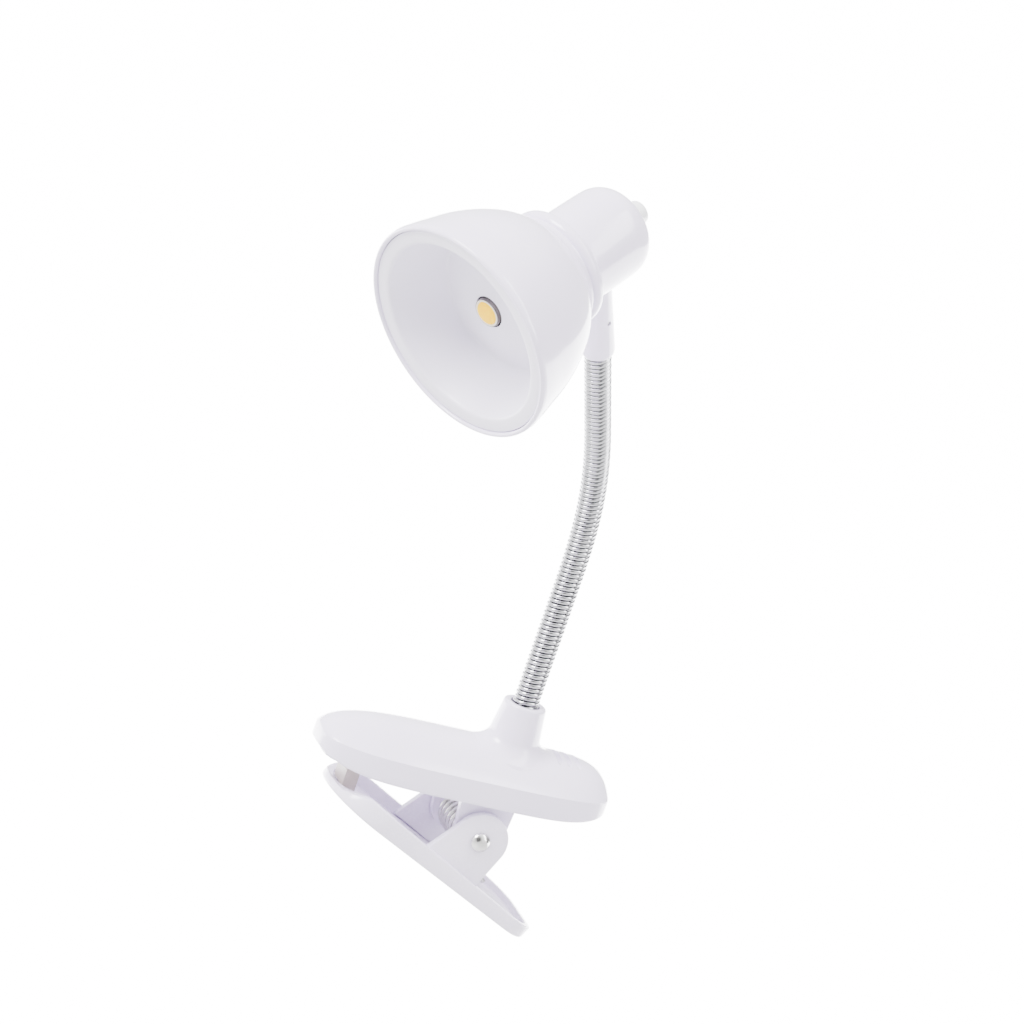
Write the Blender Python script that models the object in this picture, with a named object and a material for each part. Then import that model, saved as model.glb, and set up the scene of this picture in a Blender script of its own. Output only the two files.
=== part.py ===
"""Clip-on reading lamp: spring clip, coiled steel neck and a bell-shaped LED head.

Frame: metres, +Z up, +X from the jaw's tip towards the thumb end.  The origin is the
middle of the flat grip land under the upper jaw.
"""
import math

import bmesh
import bpy
from mathutils import Matrix, Vector

MM = 0.001
GAP = 0.3 * MM            # clearance between neighbouring pieces

# ---------------------------------------------------------------- driving dimensions
# upper half of the clip
CLIP_LENGTH = 62.0 * MM
CLIP_WIDTH = 24.0 * MM
CLIP_WALL = 1.6 * MM
RIDGE_Z = 5.2 * MM        # where the side wall turns into the domed top
CROWN_Z = 10.6 * MM
RIM_LIFT = 2.4 * MM       # the rim rises this much at both ends
TAIL_POWER = 4.0          # super-ellipse powers of the plan outline
NOSE_POWER = 2.9
TAIL_FALL = 9.0           # how late the crown falls off towards each end
NOSE_FALL = 4.4
BOSS_X = 26.0 * MM        # neck axis
CLIP_MID_X = BOSS_X - 9.0 * MM
BOSS_TOP_Z = 19.4 * MM
BOSS_TOP_R = 4.45 * MM
BOSS_FOOT_R = 5.2 * MM
BOSS_BORE_R = 3.0 * MM
PLATE_UNDER_Z = 0.8 * MM
PLATE_THICK = 1.4 * MM
LAND_SIZE = (7.0 * MM, 8.0 * MM)
SCREW_X = (8.0 * MM, 40.0 * MM)
GROOVE_X = (35.9 * MM, 38.0 * MM, 40.1 * MM)

# jaw hinge
PIVOT = Vector((22.2 * MM, 0.0, -7.6 * MM))
PIN_R = 1.5 * MM
PIN_HOLE_R = 1.75 * MM
UPPER_EAR_Y = 7.2 * MM    # inner face of the upper ears
LEVER_EAR_Y = 9.2 * MM    # inner face of the lever's ears
EAR_THICK = 1.6 * MM

# lower half of the clip, in its own frame at the pivot
LEVER_PITCH = math.radians(26.0)
LEVER_TIP_U = -29.5 * MM
LEVER_END_U = 24.0 * MM
LEVER_WIDTH = 23.6 * MM
LEVER_TOP_W = -7.3 * MM   # top of the flanges
LEVER_FLOOR_W = -8.7 * MM  # floor and underside at the thumb end
LEVER_UNDER_W = -10.2 * MM
LEVER_DEEPER = 1.7 * MM   # the channel is this much deeper at the tip
LEVER_WALL = 1.5 * MM
LOWER_LAND_U = -19.8 * MM  # middle of the lever's flat grip land
FLANGE_FADE = 4.5 * MM    # length over which the flanges rise behind the tip

# grip strips at the jaw's tip
GRIP_X = (-6.7 * MM, -3.8 * MM)
GRIP_WIDTH = 6.4 * MM
GRIP_CONTACT_Z = -0.4 * MM
GRIP_TEETH = 3
TOOTH_DEPTH = 0.45 * MM

# jaw spring
SPRING_COIL_R = 4.0 * MM
SPRING_WIRE_R = 0.5 * MM
SPRING_TURNS = 5
SPRING_HALF_WIDTH = 5.0 * MM

# neck
NECK_R = 2.7 * MM
NECK_STEP = 6.75 * MM     # distance between two neck joints
NECK_JOINTS = 12
NECK_FIRST = 3.4 * MM    # first joint above the boss
BEND_TOTAL = math.radians(33.7)
BEND_FROM = 24.0 * MM     # where the bend starts and ends along the neck
BEND_TO = 64.5 * MM
LEAN = Vector((-0.751, -0.66, 0.0)).normalized()   # the way the neck leans
BALL_R = 2.0 * MM
CUP_R = 2.35 * MM
JOINT_HALF_GAP = 0.8 * MM

# head, in its own frame: z towards the mouth, x along the stem away from the axis
HEAD_AIM = Vector((-0.708, -0.444, -0.55))
STEM_REACH = 27.5 * MM    # from the head's axis to the stem's lower end
STEM_A = 37.8 * MM        # stem's distance behind the mouth
STEM_TOP_R = 2.65 * MM
STEM_END_R = 3.3 * MM
STEM_BORE_R = 2.0 * MM
STEM_BORE_DEPTH = 14.0 * MM
CELL_R = 5.8 * MM
CELL_LENGTH = 5.4 * MM
CELL_COUNT = 3
BUTTON_R = 2.45 * MM


# ---------------------------------------------------------------- helpers
def clear_scene():
    for old in list(bpy.data.objects):
        bpy.data.objects.remove(old, do_unlink=True)


def make_material(name, color, roughness, metallic=0.0):
    material = bpy.data.materials.new(name)
    material.use_nodes = True
    shader = material.node_tree.nodes["Principled BSDF"]
    shader.inputs["Base Color"].default_value = (*color, 1.0)
    shader.inputs["Roughness"].default_value = roughness
    shader.inputs["Metallic"].default_value = metallic
    return material


def finish_mesh(name, bm, material, matrix=None, recalc=True):
    """Turn a bmesh into a named object, shaded smooth with sharp edges kept."""
    bmesh.ops.remove_doubles(bm, verts=bm.verts, dist=1e-7)
    if recalc:
        bmesh.ops.recalc_face_normals(bm, faces=bm.faces)
    mesh = bpy.data.meshes.new(name)
    bm.to_mesh(mesh)
    bm.free()
    mesh.shade_smooth()
    mesh.set_sharp_from_angle(angle=math.radians(35))
    obj = bpy.data.objects.new(name, mesh)
    bpy.context.collection.objects.link(obj)
    if material:
        mesh.materials.append(material)
    if matrix is not None:
        obj.matrix_world = matrix
    return obj


def hide_cutter(obj):
    obj.hide_render = True
    obj.display_type = "WIRE"
    return obj


def boolean(obj, other, operation):
    modifier = obj.modifiers.new(other.name, "BOOLEAN")
    modifier.operation = operation
    modifier.solver = "EXACT"
    modifier.object = hide_cutter(other)
    return modifier


def turned(name, profile, material, matrix=None, steps=32):
    """Revolve a closed (radius, z) outline around the local z axis."""
    bm = bmesh.new()
    verts = [bm.verts.new((r, 0.0, z)) for r, z in profile]
    edges = [bm.edges.new((a, b)) for a, b in zip(verts, verts[1:])]
    if profile[0][0] > 0.0 or profile[-1][0] > 0.0:
        edges.append(bm.edges.new((verts[-1], verts[0])))
    bmesh.ops.spin(bm, geom=verts + edges, cent=(0, 0, 0), axis=(0, 0, 1),
                   angle=math.tau, steps=steps, use_merge=True)
    bmesh.ops.remove_doubles(bm, verts=bm.verts, dist=1e-6)
    return finish_mesh(name, bm, material, matrix)


def arc(center, radius, start, end, count):
    """Points (r, z) on a circle; angles in degrees from +r towards +z."""
    points = []
    for i in range(count + 1):
        angle = math.radians(start + (end - start) * i / count)
        points.append((center[0] + radius * math.cos(angle),
                       center[1] + radius * math.sin(angle)))
    return points


def extruded(name, outline, y_low, y_high, material, matrix=None):
    """Extrude a closed (x, z) outline along y."""
    bm = bmesh.new()
    face = bm.faces.new([bm.verts.new((x, y_low, z)) for x, z in outline])
    moved = bmesh.ops.extrude_face_region(bm, geom=[face])
    verts = [v for v in moved["geom"] if isinstance(v, bmesh.types.BMVert)]
    bmesh.ops.translate(bm, verts=verts, vec=(0, y_high - y_low, 0))
    return finish_mesh(name, bm, material, matrix)


def box(name, low, high, material, matrix=None):
    bm = bmesh.new()
    bmesh.ops.create_cube(bm, size=1.0)
    for vert in bm.verts:
        vert.co = Vector([low[i] + (vert.co[i] + 0.5) * (high[i] - low[i]) for i in range(3)])
    return finish_mesh(name, bm, material, matrix)


def rod(name, radius, y_low, y_high, material, matrix=None, steps=24):
    """Round bar along the y axis."""
    turn = Matrix.Rotation(math.radians(-90), 4, "X")
    place = (matrix if matrix is not None else Matrix.Identity(4)) @ turn
    outline = [(0.0, y_low), (radius, y_low), (radius, y_high), (0.0, y_high)]
    return turned(name, outline, material, place, steps)


def wire(name, points, radius, material, matrix=None):
    """Round wire along a polyline, with closed ends."""
    curve = bpy.data.curves.new(name, "CURVE")
    curve.dimensions = "3D"
    curve.bevel_depth = radius
    curve.bevel_resolution = 1
    curve.use_fill_caps = True
    spline = curve.splines.new("POLY")
    spline.points.add(len(points) - 1)
    for slot, point in zip(spline.points, points):
        slot.co = (*point, 1.0)
    curve.materials.append(material)
    obj = bpy.data.objects.new(name, curve)
    bpy.context.collection.objects.link(obj)
    if matrix is not None:
        obj.matrix_world = matrix
    return obj


def at(point):
    return Matrix.Translation(Vector(point))


# ---------------------------------------------------------------- clip, upper half
def outline_power(side):
    return TAIL_POWER if side > 0.0 else NOSE_POWER


def outline_point(angle, inset=0.0):
    """Plan outline of the clip: a super-ellipse, inset by a wall."""
    half_length = CLIP_LENGTH / 2 - inset
    half_width = CLIP_WIDTH / 2 - inset
    c, s = math.cos(angle), math.sin(angle)
    power = 2.0 / outline_power(c)
    return (CLIP_MID_X + half_length * math.copysign(abs(c) ** power, c),
            half_width * math.copysign(abs(s) ** power, s))


def dome_height(x, y, inset=0.0):
    """Height of the crown above the ridge at a plan position."""
    u = min(abs(x - CLIP_MID_X) / (CLIP_LENGTH / 2 - inset), 1.0)
    power = outline_power(x - CLIP_MID_X)
    width = (CLIP_WIDTH / 2 - inset) * max(1.0 - u ** power, 0.0) ** (1.0 / power)
    v = min(abs(y) / width, 1.0) if width > 0.0 else 1.0
    rise = CROWN_Z - RIDGE_Z
    end = TAIL_FALL if x > CLIP_MID_X else NOSE_FALL
    return rise * math.sqrt(max(1.0 - u ** end, 0.0)) * (1.0 - v ** 2)


def shell_rings(inset, rim_offset, segments):
    """Rings of the shell's skin, from the rim up and over to the crown."""
    rings = []
    top = RIDGE_Z - inset
    for level in (0.0, 0.12, 0.9):
        ring = []
        tuck = 0.5 * MM if level == 0.0 and inset == 0.0 else 0.0
        for i in range(segments):
            x, y = outline_point(math.tau * i / segments, inset + tuck)
            u = abs(x - CLIP_MID_X) / (CLIP_LENGTH / 2)
            rim = RIM_LIFT * min(u, 1.0) ** 6 + rim_offset
            ring.append((x, y, rim + (top - rim) * level))
        rings.append(ring)
    for scale in (0.975, 0.9, 0.75, 0.55, 0.3):
        ring = []
        for i in range(segments):
            x, y = outline_point(math.tau * i / segments, inset)
            x = CLIP_MID_X + (x - CLIP_MID_X) * scale
            y *= scale
            ring.append((x, y, top + dome_height(x, y, inset)))
        rings.append(ring)
    return rings


def add_rings(bm, rings):
    built = [[bm.verts.new(p) for p in ring] for ring in rings]
    count = len(built[0])
    for low, high in zip(built, built[1:]):
        for i in range(count):
            j = (i + 1) % count
            bm.faces.new((low[i], low[j], high[j], high[i]))
    return built


def make_clip_housing(white):
    segments = 40
    bm = bmesh.new()
    outer = add_rings(bm, shell_rings(0.0, 0.0, segments))
    inner = add_rings(bm, shell_rings(CLIP_WALL, 0.0, segments))
    for built, inset in ((outer, 0.0), (inner, CLIP_WALL)):
        top = bm.verts.new((CLIP_MID_X, 0.0, CROWN_Z - inset))
        last = built[-1]
        for i in range(segments):
            bm.faces.new((last[i], last[(i + 1) % segments], top))
    for i in range(segments):
        j = (i + 1) % segments
        bm.faces.new((outer[0][j], outer[0][i], inner[0][i], inner[0][j]))
    housing = finish_mesh("clip_housing", bm, white)

    foot_z = CROWN_Z - 1.2 * MM
    boss = [(0.0, foot_z), (7.0 * MM, foot_z), (6.9 * MM, CROWN_Z - 0.2 * MM),
            (6.0 * MM, CROWN_Z + 0.3 * MM), (5.4 * MM, CROWN_Z + 1.1 * MM),
            (BOSS_FOOT_R, CROWN_Z + 2.2 * MM), (BOSS_TOP_R, BOSS_TOP_Z - 0.5 * MM),
            (BOSS_TOP_R - 0.4 * MM, BOSS_TOP_Z), (0.0, BOSS_TOP_Z)]
    place = at((BOSS_X, 0.0, 0.0))
    boolean(housing, turned("boss", boss, None, place, 32), "UNION")
    for i, x in enumerate(SCREW_X):
        post = [(0.0, 2.5 * MM), (2.6 * MM, 2.5 * MM), (2.6 * MM, 9.3 * MM), (0.0, 9.3 * MM)]
        boolean(housing, turned("post_%d" % i, post, None, at((x, 0, 0)), 16), "UNION")
        hole = [(0.0, 1.5 * MM), (1.15 * MM, 1.5 * MM), (1.15 * MM, 7.2 * MM), (0.0, 7.2 * MM)]
        boolean(housing, turned("post_hole_%d" % i, hole, None, at((x, 0, 0)), 12), "DIFFERENCE")
    bore = [(0.0, 5.0 * MM), (BOSS_BORE_R, 5.0 * MM), (BOSS_BORE_R, 25.0 * MM), (0.0, 25.0 * MM)]
    boolean(housing, turned("boss_bore", bore, None, place, 24), "DIFFERENCE")
    for i, x in enumerate(GROOVE_X):
        drop = CROWN_Z - RIDGE_Z - dome_height(x, 0.0)
        cut = rod("groove_%d" % i, 0.8 * MM, -5.0 * MM, 5.0 * MM, None,
                  at((x, 0.0, CROWN_Z + 0.1 * MM - drop)), 10)
        boolean(housing, cut, "DIFFERENCE")
    return housing


def ear_outline(half_width, root_z, radius, hinge=(0.0, 0.0), flare=0.0):
    """Ear as an (x, z) outline: straight sides from a root line to a round end at the hinge."""
    sign = 1.0 if root_z > 0.0 else -1.0
    points = [(hinge[0] + half_width, hinge[1] + root_z),
              (hinge[0] - half_width - flare, hinge[1] + root_z)]
    for i in range(13):
        angle = math.pi * i / 12
        points.append((hinge[0] - radius * math.cos(angle),
                       hinge[1] - sign * radius * math.sin(angle)))
    return points


def make_base_plate(white):
    thick_top = PLATE_UNDER_Z + PLATE_THICK
    inset = CLIP_WALL + GAP
    bm = bmesh.new()
    segments = 40
    rings = [[(*outline_point(math.tau * i / segments, inset), z) for i in range(segments)]
             for z in (PLATE_UNDER_Z, thick_top)]
    low, high = add_rings(bm, rings)
    bm.faces.new(low)
    bm.faces.new(high)
    plate = finish_mesh("clip_base_plate", bm, white)

    half_x, half_y = LAND_SIZE[0] / 2, LAND_SIZE[1] / 2
    land = box("grip_land", (-half_x, -half_y, 0.0), (half_x, half_y, 1.5 * MM), None)
    boolean(plate, land, "UNION")
    root = thick_top - 0.3 * MM - PIVOT.z
    outline = ear_outline(6.0 * MM, root, 5.2 * MM, (PIVOT.x, PIVOT.z))
    for side in (-1, 1):
        y = sorted((side * UPPER_EAR_Y, side * (UPPER_EAR_Y + EAR_THICK - 0.1 * MM)))
        ear = extruded("upper_ear_%s" % ("near" if side < 0 else "far"), outline, *y, None)
        boolean(plate, ear, "UNION")
    boolean(plate, rod("upper_pin_hole", PIN_HOLE_R, -12 * MM, 12 * MM, None, at(PIVOT)), "DIFFERENCE")
    for i, x in enumerate(SCREW_X):
        hole = [(0.0, -2 * MM), (1.3 * MM, -2 * MM), (1.3 * MM, 4 * MM), (0.0, 4 * MM)]
        boolean(plate, turned("plate_hole_%d" % i, hole, None, at((x, 0, 0)), 12), "DIFFERENCE")
    return plate


def make_base_screws(steel):
    head_top = PLATE_UNDER_Z - GAP
    for name, x in zip(("base_screw_front", "base_screw_rear"), SCREW_X):
        outline = [(0.0, head_top - 0.9 * MM), (1.4 * MM, head_top - 0.9 * MM),
                   (1.9 * MM, head_top - 0.5 * MM), (1.9 * MM, head_top),
                   (0.85 * MM, head_top), (0.85 * MM, 6.4 * MM), (0.0, 7.0 * MM)]
        turned(name, outline, steel, at((x, 0, 0)), 16)


def toothed_strip(top_z, tooth_z, sign):
    """(x, z) outline of a grip strip, flat on one side and toothed on the other."""
    x0, x1 = GRIP_X
    pitch = (x1 - x0) / GRIP_TEETH
    points = [(x0, top_z[0]), (x1, top_z[1])]
    for i in range(GRIP_TEETH):
        right = x1 - i * pitch
        points.append((right, tooth_z + sign * TOOTH_DEPTH))
        points.append((right - pitch / 2, tooth_z))
    points.append((x0, tooth_z + sign * TOOTH_DEPTH))
    return points


def lever_drop(u):
    """How much lower the lever's floor is than at its thumb end."""
    return LEVER_DEEPER * (LEVER_END_U - u) / (LEVER_END_U - LEVER_TIP_U)


def lever_floor_z(x):
    """World height of the lever's inner floor at a world x, jaw closed."""
    c, s = math.cos(LEVER_PITCH), math.sin(LEVER_PITCH)
    u = (x - PIVOT.x) / c
    for _ in range(20):
        floor = LEVER_FLOOR_W - lever_drop(u)
        u = (x - PIVOT.x - floor * s) / c
    return PIVOT.z + floor * c - u * s


def make_grips(white):
    half = GRIP_WIDTH / 2
    top = PLATE_UNDER_Z - GAP
    outline = toothed_strip((top, top), GRIP_CONTACT_Z, 1.0)
    extruded("upper_grip", outline, -half, half, white)

    under = [lever_floor_z(x) + GAP for x in GRIP_X]
    outline = toothed_strip(under, GRIP_CONTACT_Z - GAP - 0.1 * MM, -1.0)
    local = [(x - PIVOT.x, z - PIVOT.z) for x, z in outline]
    extruded("lower_grip", local, -half, half, white, at(PIVOT))


def make_pivot(steel):
    reach = LEVER_EAR_Y + EAR_THICK
    outline = [(0.0, -reach - GAP - 1.05 * MM), (0.9 * MM, -reach - GAP - 0.95 * MM),
               (1.6 * MM, -reach - GAP - 0.6 * MM), (2.05 * MM, -reach - GAP),
               (PIN_R, -reach - GAP), (PIN_R, reach + 1.5 * MM),
               (PIN_R - 0.3 * MM, reach + 1.8 * MM), (0.0, reach + 1.8 * MM)]
    turn = Matrix.Rotation(math.radians(-90), 4, "X")
    turned("pivot_pin", outline, steel, at(PIVOT) @ turn, 24)
    washer = [(PIN_R + 0.1 * MM, reach + GAP), (2.9 * MM, reach + GAP),
              (2.7 * MM, reach + GAP + 0.7 * MM), (PIN_R + 0.1 * MM, reach + GAP + 0.9 * MM)]
    turned("pivot_washer", washer, steel, at(PIVOT) @ turn, 24)


def tangent_angle(end, side):
    """Angle on the coil where a straight leg to a point touches it."""
    distance = math.hypot(*end)
    return math.atan2(end[1], end[0]) + side * math.acos(SPRING_COIL_R / distance)


def make_jaw_spring(steel):
    """Torsion spring on the pivot pin; both legs press the thumb ends apart."""
    clear = SPRING_WIRE_R + GAP
    upper_end = (11.0 * MM, PLATE_UNDER_Z - clear - PIVOT.z)
    reach_u, reach_w = 15.0 * MM, LEVER_FLOOR_W + clear
    c, s = math.cos(LEVER_PITCH), math.sin(LEVER_PITCH)
    lower_end = (reach_u * c + reach_w * s, -reach_u * s + reach_w * c)
    start = tangent_angle(upper_end, 1)
    stop = tangent_angle(lower_end, -1)
    sweep = math.tau * SPRING_TURNS + (stop - start) % math.tau
    count = 12 * SPRING_TURNS + 6
    points = [(upper_end[0], -SPRING_HALF_WIDTH, upper_end[1])]
    for i in range(count + 1):
        angle = start + sweep * i / count
        y = -SPRING_HALF_WIDTH + 2 * SPRING_HALF_WIDTH * i / count
        points.append((SPRING_COIL_R * math.cos(angle), y, SPRING_COIL_R * math.sin(angle)))
    points.append((lower_end[0], SPRING_HALF_WIDTH, lower_end[1]))
    wire("jaw_spring", points, SPRING_WIRE_R, steel, at(PIVOT))


# ---------------------------------------------------------------- clip, lower half
def lever_outline(inset, corner_steps=5):
    """Plan outline (u, y) of the lever: a nearly round tip and large corners at the end."""
    half = LEVER_WIDTH / 2 - inset
    tip_r, end_r = 11.3 * MM - inset, 7.5 * MM - inset
    corners = [(LEVER_END_U - inset - end_r, half - end_r, end_r, 0),
               (LEVER_TIP_U + inset + tip_r, half - tip_r, tip_r, 90),
               (LEVER_TIP_U + inset + tip_r, -half + tip_r, tip_r, 180),
               (LEVER_END_U - inset - end_r, -half + end_r, end_r, 270)]
    points = []
    for cu, cy, radius, start in corners:
        for i in range(corner_steps + 1):
            angle = math.radians(start + 90.0 * i / corner_steps)
            points.append((cu + radius * math.cos(angle), cy + radius * math.sin(angle)))
    return points


def flange_top(u):
    """The flanges fade out into the floor at the tip."""
    along = min(max((u - LEVER_TIP_U - LEVER_WALL) / FLANGE_FADE, 0.0), 1.0)
    low = LEVER_FLOOR_W - lever_drop(u) + 0.2 * MM
    return low + (LEVER_TOP_W - low) * along


def make_clip_lever(white):
    place = at(PIVOT) @ Matrix.Rotation(LEVER_PITCH, 4, "Y")
    bm = bmesh.new()
    edge = 0.5 * MM
    rings = [[(u, y, LEVER_UNDER_W - lever_drop(u)) for u, y in lever_outline(edge)],
             [(u, y, LEVER_UNDER_W - lever_drop(u) + edge) for u, y in lever_outline(0.0)],
             [(u, y, flange_top(u)) for u, y in lever_outline(0.0)],
             [(u, y, flange_top(u)) for u, y in lever_outline(LEVER_WALL)],
             [(u, y, LEVER_FLOOR_W - lever_drop(u)) for u, y in lever_outline(LEVER_WALL)]]
    built = add_rings(bm, rings)
    bm.faces.new(built[0])
    bm.faces.new(built[-1])
    lever = finish_mesh("clip_lever", bm, white, place)

    half_u, half_y = LAND_SIZE[0] / 2, LAND_SIZE[1] / 2
    land = box("lower_land", (LOWER_LAND_U - half_u, -half_y, LEVER_FLOOR_W - LEVER_DEEPER),
               (LOWER_LAND_U + half_u, half_y, LEVER_FLOOR_W + 0.6 * MM), None, place)
    boolean(lever, land, "UNION")
    root = LEVER_UNDER_W + 0.6 * MM
    outline = ear_outline(6.1 * MM, root, 5.9 * MM, flare=2.0 * MM)
    for side in (-1, 1):
        y = sorted((side * LEVER_EAR_Y, side * (LEVER_EAR_Y + EAR_THICK)))
        ear = extruded("lever_ear_%s" % ("near" if side < 0 else "far"), outline, *y, None, place)
        boolean(lever, ear, "UNION")
    boolean(lever, rod("lever_pin_hole", PIN_HOLE_R, -12 * MM, 12 * MM, None, place), "DIFFERENCE")
    return lever


# ---------------------------------------------------------------- neck
def bend_angle(s):
    """Lean of the neck away from vertical at arc length s above the boss."""
    t = min(max((s - BEND_FROM) / (BEND_TO - BEND_FROM), 0.0), 1.0)
    return BEND_TOTAL * t * t * (3.0 - 2.0 * t)


def neck_frames():
    """Joint positions and the direction of the stretch above each joint."""
    up = Vector((0, 0, 1))
    point = Vector((BOSS_X, 0.0, BOSS_TOP_Z + NECK_FIRST))
    frames = []
    for k in range(NECK_JOINTS):
        s = NECK_FIRST + k * NECK_STEP
        angle = bend_angle(s + NECK_STEP / 2)
        direction = up * math.cos(angle) + LEAN * math.sin(angle)
        frames.append((point.copy(), direction))
        point = point + direction * NECK_STEP
    return frames


def neck_matrix(point, direction):
    """Local z along the neck, local x along the bend axis."""
    bend_axis = Vector((0, 0, 1)).cross(LEAN).normalized()
    side = direction.cross(bend_axis)
    rotation = Matrix((bend_axis, side, direction)).transposed().to_4x4()
    return at(point) @ rotation


def ball_profile(z):
    """Round end of a link, centred on the joint at z."""
    start = math.degrees(math.asin(-JOINT_HALF_GAP / BALL_R))
    return [(NECK_R, z - JOINT_HALF_GAP)] + arc((0.0, z), BALL_R, start, 90, 5)[:-1] + [(0.0, z + BALL_R)]


def cup_profile():
    """Hollow end of a link, centred on the joint at z = 0."""
    end = math.degrees(math.asin(JOINT_HALF_GAP / CUP_R))
    return [(0.0, CUP_R)] + arc((0.0, 0.0), CUP_R, 90, end, 4)[1:] + [(NECK_R, JOINT_HALF_GAP)]


def make_neck(chrome):
    frames = neck_frames()
    steps = 14
    base = 7.4 * MM
    first = frames[0][0].z
    outline = [(0.0, base - 1.2 * MM), (4.2 * MM, base - 1.2 * MM), (4.2 * MM, base),
               (NECK_R, base)] + ball_profile(first)
    turned("neck_root_sleeve", outline, chrome, at((BOSS_X, 0, 0)), steps)
    for k in range(NECK_JOINTS - 1):
        outline = cup_profile() + ball_profile(NECK_STEP)
        turned("neck_link_%02d" % (k + 1), outline, chrome, neck_matrix(*frames[k]), steps)


# ---------------------------------------------------------------- head
def head_matrix():
    """Frame at the mouth's centre: z out of the mouth, x down the stem."""
    last_point, last_dir = neck_frames()[-1]
    stem_end = last_point + last_dir * NECK_FIRST
    aim = (HEAD_AIM - last_dir * HEAD_AIM.dot(last_dir)).normalized()
    down = -last_dir
    origin = stem_end - down * STEM_REACH + aim * STEM_A
    rotation = Matrix((down, aim.cross(down), aim)).transposed().to_4x4()
    return at(origin) @ rotation


def behind(points):
    """(radius, distance behind the mouth) in mm to (radius, z) in metres."""
    return [(r * MM, -a * MM) for r, a in points]


def make_shade(head, white):
    outer = [(21.3, 0.0), (21.7, 0.35), (21.75, 1.2), (21.4, 3.2), (20.7, 6.2), (19.7, 10.2),
             (18.3, 14.0), (16.5, 17.6), (14.9, 20.0), (13.2, 21.8), (11.8, 23.0),
             (11.3, 24.0), (11.3, 24.6), (11.0, 24.9), (11.5, 25.4), (11.7, 26.2), (11.5, 27.0),
             (10.8, 27.3), (9.0, 27.3)]
    inner = [(9.0, 22.6), (10.3, 21.0), (12.8, 19.4), (15.0, 17.0), (16.8, 13.6), (18.3, 10.0),
             (19.3, 6.0), (20.1, 3.4), (20.8, 2.6), (20.8, 0.3)]
    return turned("shade", behind(outer + inner), white, head, 36)


def make_reflector(head, white):
    front = [(3.2, 8.6), (13.4, 11.9), (14.2, 11.6), (15.6, 7.6), (17.6, 1.6), (18.1, 0.75),
             (18.6, 0.45), (20.3, 0.45)]
    back = [(20.5, 0.7), (20.5, 2.2), (18.9, 2.2), (18.4, 2.6), (15.3, 12.5), (13.6, 13.2), (3.2, 9.7)]
    return turned("reflector_cup", behind(front + back), white, head, 36)


def make_led(head, board_white, ceramic, yellow, plastic, steel, dark):
    package = [(0.0, 8.3), (2.35, 8.3), (2.35, 7.9), (2.9, 7.9), (2.9, 10.6), (0.0, 10.6)]
    turned("led_package", behind(package), ceramic, head, 28)
    lens = [(0.0, 7.25), (1.0, 7.35), (1.7, 7.6), (2.1, 7.9), (2.1, 8.1), (0.0, 8.1)]
    turned("led_phosphor", behind(lens), yellow, head, 28)
    board = [(0.0, 10.8), (5.0, 10.8), (5.0, 11.9), (0.0, 11.9)]
    turned("led_board", behind(board), board_white, head, 28)
    holder = [(5.3, 11.4), (6.3, 11.4), (6.3, 14.0), (15.4, 14.0), (15.4, 15.2), (3.2, 15.2),
              (3.2, 12.3), (5.3, 12.3)]
    turned("led_holder", behind(holder), plastic, head, 28)
    box("led_resistor", (0.9 * MM, 0.6 * MM, -12.8 * MM), (2.1 * MM, 1.4 * MM, -12.1 * MM), dark, head)
    contact = [(0.0, 12.2), (0.7, 12.2), (0.7, 18.0), (2.4, 19.4), (2.4, 19.8), (0.0, 19.8)]
    turned("front_contact", behind(contact), steel, head, 16)


def make_barrel(head, white):
    outer = [(7.8, 21.6), (8.5, 21.6), (8.5, 27.6), (9.25, 27.6), (9.3, 28.4), (9.2, 40.0),
             (8.8, 41.8), (7.8, 43.4), (6.3, 44.5), (4.5, 45.1), (2.75, 45.3)]
    inner = [(2.75, 43.8), (6.0, 43.5), (7.4, 42.3), (7.8, 40.5)]
    barrel = turned("barrel", behind(outer + inner), white, head, 36)

    along = head @ at((0, 0, -STEM_A)) @ Matrix.Rotation(math.radians(90), 4, "Y")
    round_r = 0.9 * MM
    stem = [(0.0, 8.3 * MM), (STEM_TOP_R + 0.8 * MM, 8.3 * MM), (STEM_TOP_R + 0.2 * MM, 10.6 * MM),
            (STEM_END_R - 0.05 * MM, STEM_REACH - 1.8 * MM), (STEM_END_R, STEM_REACH - round_r),
            (STEM_END_R - 0.3 * MM, STEM_REACH - 0.25 * MM),
            (STEM_END_R - round_r * 0.8, STEM_REACH), (0.0, STEM_REACH)]
    boolean(barrel, turned("stem", stem, None, along, 24), "UNION")
    bore = [(0.0, STEM_REACH - STEM_BORE_DEPTH), (STEM_BORE_R, STEM_REACH - STEM_BORE_DEPTH),
            (STEM_BORE_R, STEM_REACH + 2 * MM), (0.0, STEM_REACH + 2 * MM)]
    boolean(barrel, turned("stem_bore", bore, None, along, 20), "DIFFERENCE")
    pin_place = head @ at((STEM_REACH - 8.7 * MM, 0, -STEM_A))
    boolean(barrel, rod("pin_hole", 0.5 * MM, -6 * MM, 6 * MM, None, pin_place, 12), "DIFFERENCE")
    return barrel


def make_neck_top(head, chrome, steel):
    """Upper end sleeve of the neck: a cup on the last joint and a tail in the stem."""
    point, direction = neck_frames()[-1]
    stop = NECK_FIRST - GAP
    tail = NECK_FIRST + STEM_BORE_DEPTH - 1.0 * MM
    outline = cup_profile() + [(NECK_R, stop), (1.65 * MM, stop), (1.65 * MM, tail), (0.0, tail)]
    sleeve = turned("neck_top_sleeve", outline, chrome, neck_matrix(point, direction), 14)
    pin_place = head @ at((STEM_REACH - 8.7 * MM, 0, -STEM_A))
    boolean(sleeve, rod("sleeve_hole", 0.5 * MM, -6 * MM, 6 * MM, None, pin_place, 12), "DIFFERENCE")
    rod("stem_pin", 0.4 * MM, -2.7 * MM, 2.7 * MM, steel, pin_place, 12)


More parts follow.
